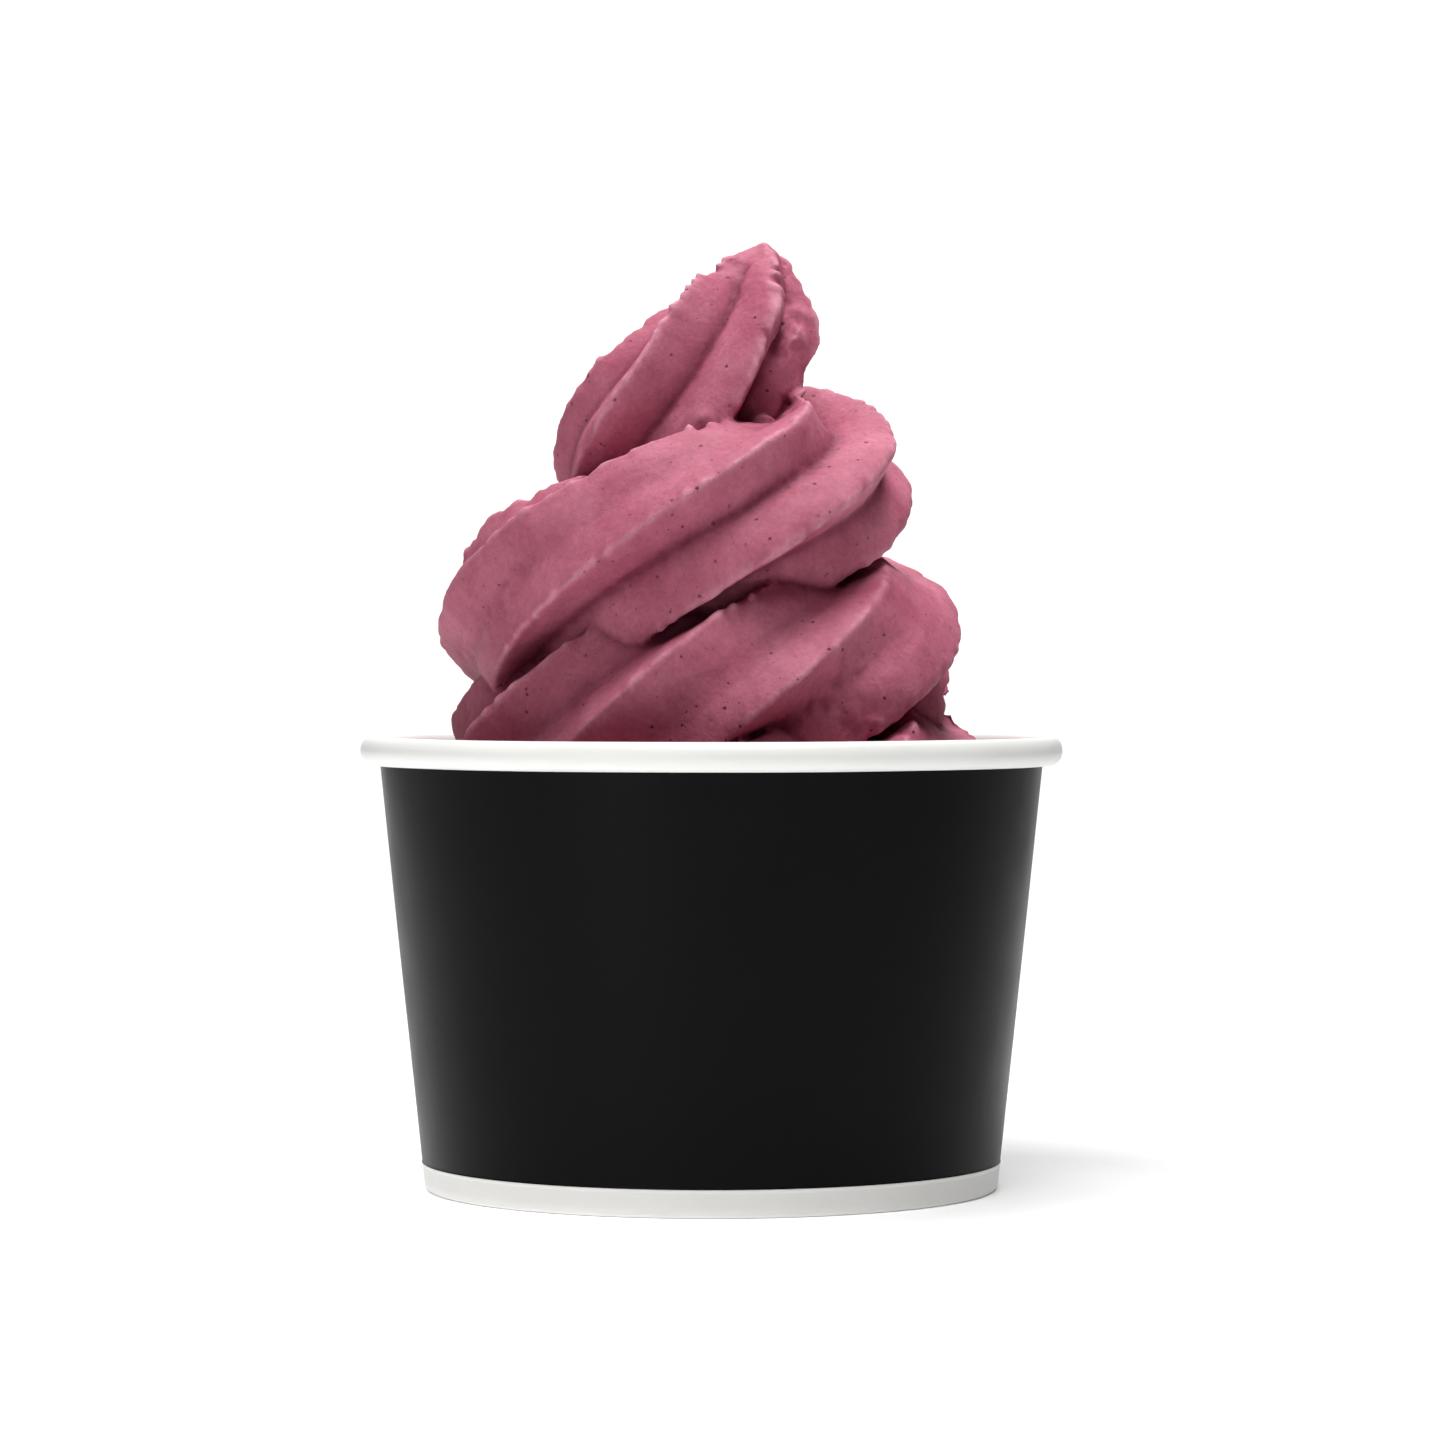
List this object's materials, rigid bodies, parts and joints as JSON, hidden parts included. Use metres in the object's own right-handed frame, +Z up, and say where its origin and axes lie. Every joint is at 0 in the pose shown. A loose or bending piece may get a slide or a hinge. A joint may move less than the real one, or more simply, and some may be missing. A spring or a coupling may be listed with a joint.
{
  "type": "cup of soft serve ice cream",
  "caption": "Paper ice cream cup with a rolled rim, filled with a ridged rope of berry soft serve piped in a rising coil to a pointed tip.",
  "frame": {"origin": "middle of the cup's foot ring, on the surface that it stands on", "axes": "+Z up along the cup's axis; -Y is the side that the picture shows; +X is to the right in the picture"},
  "size_m": [0.096, 0.096, 0.1296],
  "materials": {
    "cup_board": "satin coated board, black print outside and plain white at the rim and inside",
    "base_board": "white coated board",
    "soft_serve": "matte dense berry ice cream with fine dark specks"
  },
  "bodies": {
    "root": {"cup_wall": "cup_board", "cup_base": "base_board", "ice_cream": "soft_serve"}
  },
  "joints": []
}
